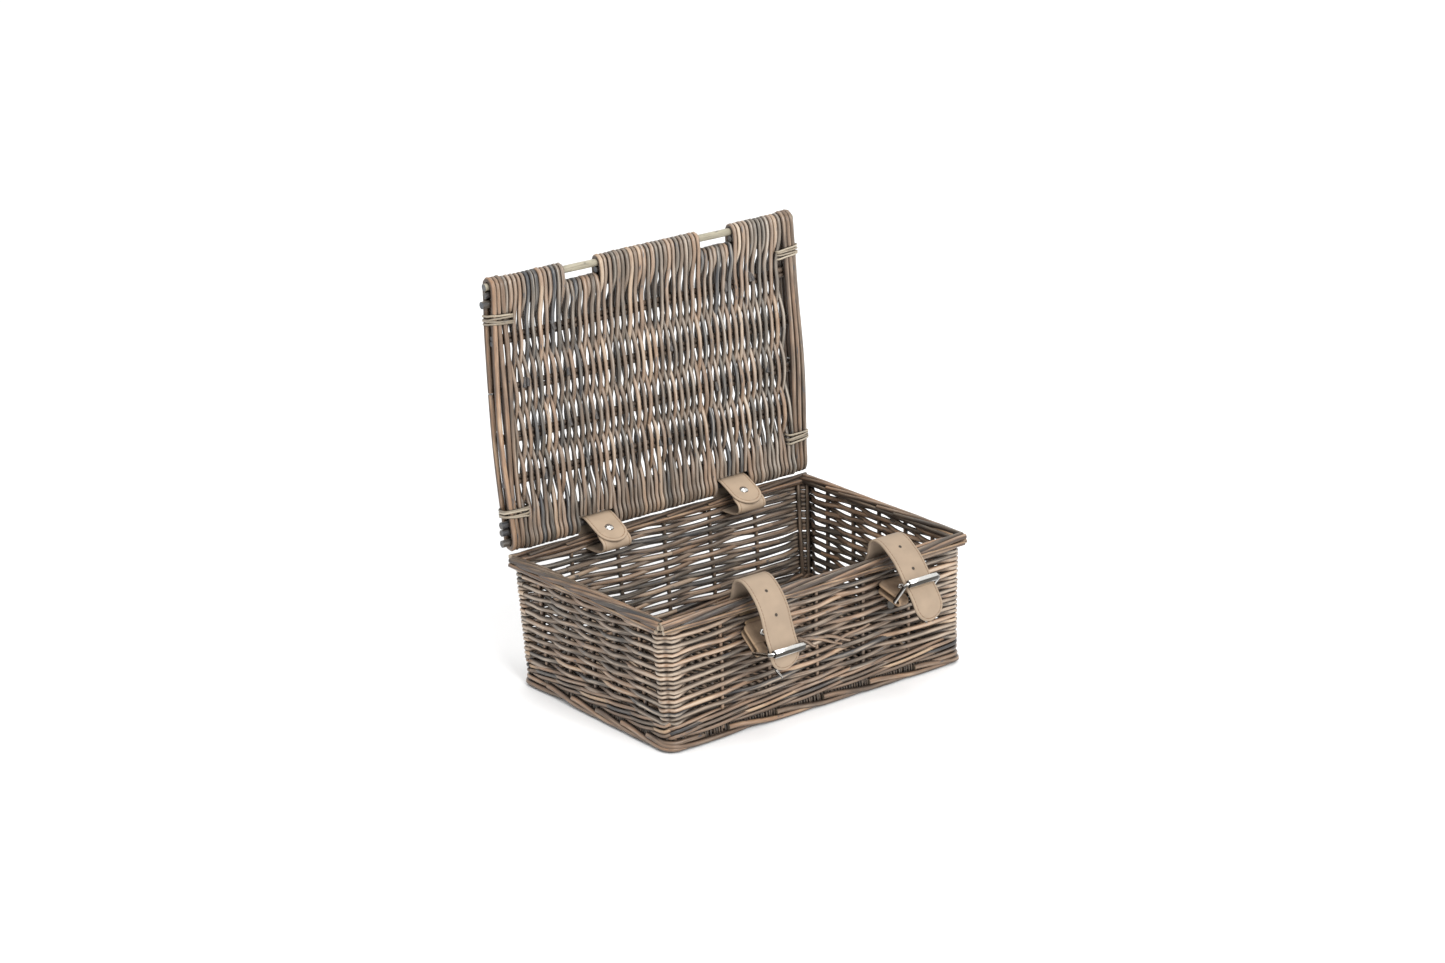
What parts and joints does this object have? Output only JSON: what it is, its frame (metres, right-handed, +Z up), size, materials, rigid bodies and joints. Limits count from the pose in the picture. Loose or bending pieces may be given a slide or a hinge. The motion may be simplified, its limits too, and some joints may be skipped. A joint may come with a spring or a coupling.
{
  "type": "wicker hamper",
  "caption": "Small rectangular woven wicker hamper with a hinged lid standing open and two leather straps buckled at the front.",
  "frame": {"origin": "centre of the underside of the base", "axes": "+X along the front to the viewer's right, +Y to the hinged back, +Z up"},
  "size_m": [0.264, 0.2406, 0.2918],
  "materials": {
    "willow_weave": "matte",
    "willow_rod": "satin",
    "skein": "satin",
    "leather": "matte",
    "suede": "matte",
    "nickel": "polished"
  },
  "bodies": {
    "basket": {"front_foot_border": "willow_rod", "front_wale": "willow_weave", "front_siding": "willow_weave", "front_stakes": "willow_rod", "front_border": "willow_rod", "back_foot_border": "willow_rod", "back_wale": "willow_weave", "back_siding": "willow_weave", "back_stakes": "willow_rod", "back_border": "willow_rod", "left_foot_border": "willow_rod", "left_wale": "willow_weave", "left_siding": "willow_weave", "left_stakes": "willow_rod", "left_border": "willow_rod", "right_foot_border": "willow_rod", "right_wale": "willow_weave", "right_siding": "willow_weave", "right_stakes": "willow_rod", "right_border": "willow_rod", "front_left_corner_weave": "willow_weave", "front_right_corner_weave": "willow_weave", "back_left_corner_weave": "willow_weave", "back_right_corner_weave": "willow_weave", "corner_stakes": "willow_rod", "base_weave": "willow_weave", "base_sticks": "willow_rod", "hinge_loop_left": "leather", "hinge_rivet_left": "nickel", "front_strap_left": "leather", "strap_anchor_rivet_left": "nickel", "chape_left": "suede", "chape_rivet_left": "nickel", "hinge_loop_right": "leather", "hinge_rivet_right": "nickel", "front_strap_right": "leather", "strap_anchor_rivet_right": "nickel", "chape_right": "suede", "chape_rivet_right": "nickel"},
    "lid": {"lid_weave": "willow_weave", "lid_hinge_rod": "willow_rod", "lid_rear_sticks": "willow_rod", "lid_ribs": "willow_rod", "lid_edge_rod": "willow_rod", "lid_inner_edge_stick": "willow_rod", "lid_middle_edge_sticks": "willow_rod", "lid_side_rods_left": "willow_rod", "lid_side_rods_right": "willow_rod", "lid_corner_bindings": "skein", "lid_edge_weave_left": "willow_weave", "lid_edge_weave_centre": "willow_weave", "lid_edge_weave_right": "willow_weave"},
    "left_buckle": {"buckle_frame_left": "nickel"},
    "left_roller": {"buckle_roller_left": "nickel"},
    "left_tongue": {"buckle_tongue_left": "nickel"},
    "right_buckle": {"buckle_frame_right": "nickel"},
    "right_roller": {"buckle_roller_right": "nickel"},
    "right_tongue": {"buckle_tongue_right": "nickel"}
  },
  "joints": [
    {"name": "lid_hinge", "type": "hinge", "parent": "basket", "child": "lid", "pos_m": [0, 0.092, 0.104], "axis": [1, 0, 0], "range_deg": [0, 91.76], "deforming": ["hinge_loop_left", "hinge_loop_right", "hinge_rivet_left", "hinge_rivet_right", "front_strap_left", "front_strap_right"]},
    {"name": "left_buckle_pivot", "type": "hinge", "parent": "basket", "child": "left_buckle", "pos_m": [-0.054, -0.108, 0.0628], "axis": [1, 0, 0], "range_deg": [-25, 0], "deforming": ["front_strap_left"]},
    {"name": "left_roller_spin", "type": "hinge", "parent": "left_buckle", "child": "left_roller", "pos_m": [-0.054, -0.12903, 0.06727], "axis": [1, 0, 0], "continuous": true},
    {"name": "left_tongue_pivot", "type": "hinge", "parent": "left_buckle", "child": "left_tongue", "pos_m": [-0.054, -0.108, 0.0628], "axis": [1, 0, 0], "range_deg": [-12, 35]},
    {"name": "right_buckle_pivot", "type": "hinge", "parent": "basket", "child": "right_buckle", "pos_m": [0.0615, -0.1142, 0.0705], "axis": [1, 0, 0], "range_deg": [-20, 0], "deforming": ["front_strap_right"]},
    {"name": "right_roller_spin", "type": "hinge", "parent": "right_buckle", "child": "right_roller", "pos_m": [0.0615, -0.12802, 0.08697], "axis": [1, 0, 0], "continuous": true},
    {"name": "right_tongue_pivot", "type": "hinge", "parent": "right_buckle", "child": "right_tongue", "pos_m": [0.0615, -0.1142, 0.0705], "axis": [1, 0, 0], "range_deg": [0, 35]}
  ]
}
